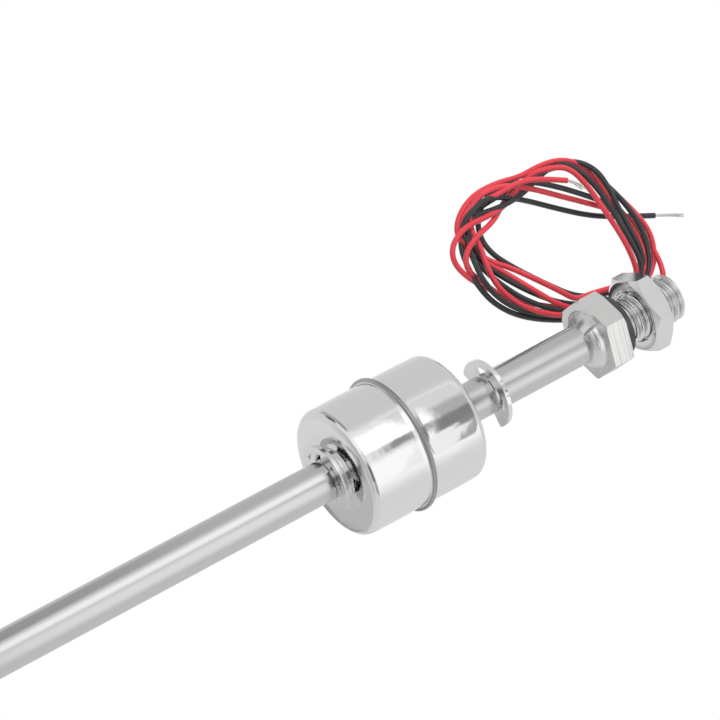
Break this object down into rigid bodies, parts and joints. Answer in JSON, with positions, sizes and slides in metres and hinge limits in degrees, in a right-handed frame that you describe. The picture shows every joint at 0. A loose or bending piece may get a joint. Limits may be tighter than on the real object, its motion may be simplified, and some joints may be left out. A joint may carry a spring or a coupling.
{
  "type": "float level switch",
  "caption": "Float level switch: a magnet float slides on a steel stem between stop clips and works a reed switch inside; threaded head with nut and seal, loose wires.",
  "frame": {"origin": "centre of the hexagon's upper face, on the stem axis, where the sealing washer seats against the panel side", "axes": "+Z along the stem axis towards the threaded end, as the switch hangs from a tank lid; the wire coil hangs on the -X side, behind the head in +Y"},
  "size_m": [0.0505, 0.0322, 0.1888],
  "materials": {
    "stem_steel": "satin, fine lengthwise polish",
    "head_steel": "machined",
    "weld_steel": "smooth weld",
    "washer_rubber": "matt black rubber",
    "nut_steel": "bright",
    "clip_steel": "stamped spring steel",
    "float_steel": "polished",
    "magnet": "sintered grey",
    "spacer_plastic": "natural plastic",
    "reed_glass": "clear",
    "reed_metal": "plated lead",
    "sleeve_plastic": "shrunk sleeve",
    "potting_resin": "cast resin",
    "red_insulation": "soft gloss",
    "black_insulation": "soft gloss",
    "coil_insulation": "soft gloss",
    "tinned_copper": "tinned strands"
  },
  "bodies": {
    "stem_assembly": {"stem_tube": "stem_steel", "stem_end_plug": "stem_steel", "threaded_head": "head_steel", "weld_bead": "weld_steel", "sealing_washer": "washer_rubber", "upper_stop_clip": "clip_steel", "lower_stop_clip": "clip_steel", "reed_glass": "reed_glass", "reed_upper_lead": "reed_metal", "reed_lower_lead": "reed_metal", "reed_sleeve": "sleeve_plastic", "red_solder_joint": "tinned_copper", "black_solder_joint": "tinned_copper", "red_inner_wire": "red_insulation", "black_inner_wire": "black_insulation", "potting_plug": "potting_resin", "red_wire_lead": "red_insulation", "black_wire_lead": "black_insulation", "wire_coil": "coil_insulation", "red_wire_end": "red_insulation", "black_wire_end": "black_insulation", "red_strands": "tinned_copper", "black_strands": "tinned_copper"},
    "float_core": {"magnet_ring": "magnet"},
    "float_shell": {"float_upper_shell": "float_steel", "float_lower_shell": "float_steel", "float_inner_tube": "float_steel", "magnet_upper_spacer": "spacer_plastic", "magnet_lower_spacer": "spacer_plastic"},
    "nut": {"lock_nut": "nut_steel"}
  },
  "joints": [
    {"name": "float_slide", "type": "slide", "parent": "stem_assembly", "child": "float_core", "axis": [0, 0, 1], "range_m": [-0.0008, 0.0088]},
    {"name": "float_spin", "type": "hinge", "parent": "float_core", "child": "float_shell", "pos_m": [0, 0, -0.0533], "axis": [0, 0, 1], "continuous": true},
    {"name": "nut_travel", "type": "slide", "parent": "stem_assembly", "child": "nut", "axis": [0, 0, 1], "range_m": [-0.00445, 0.00555]}
  ]
}
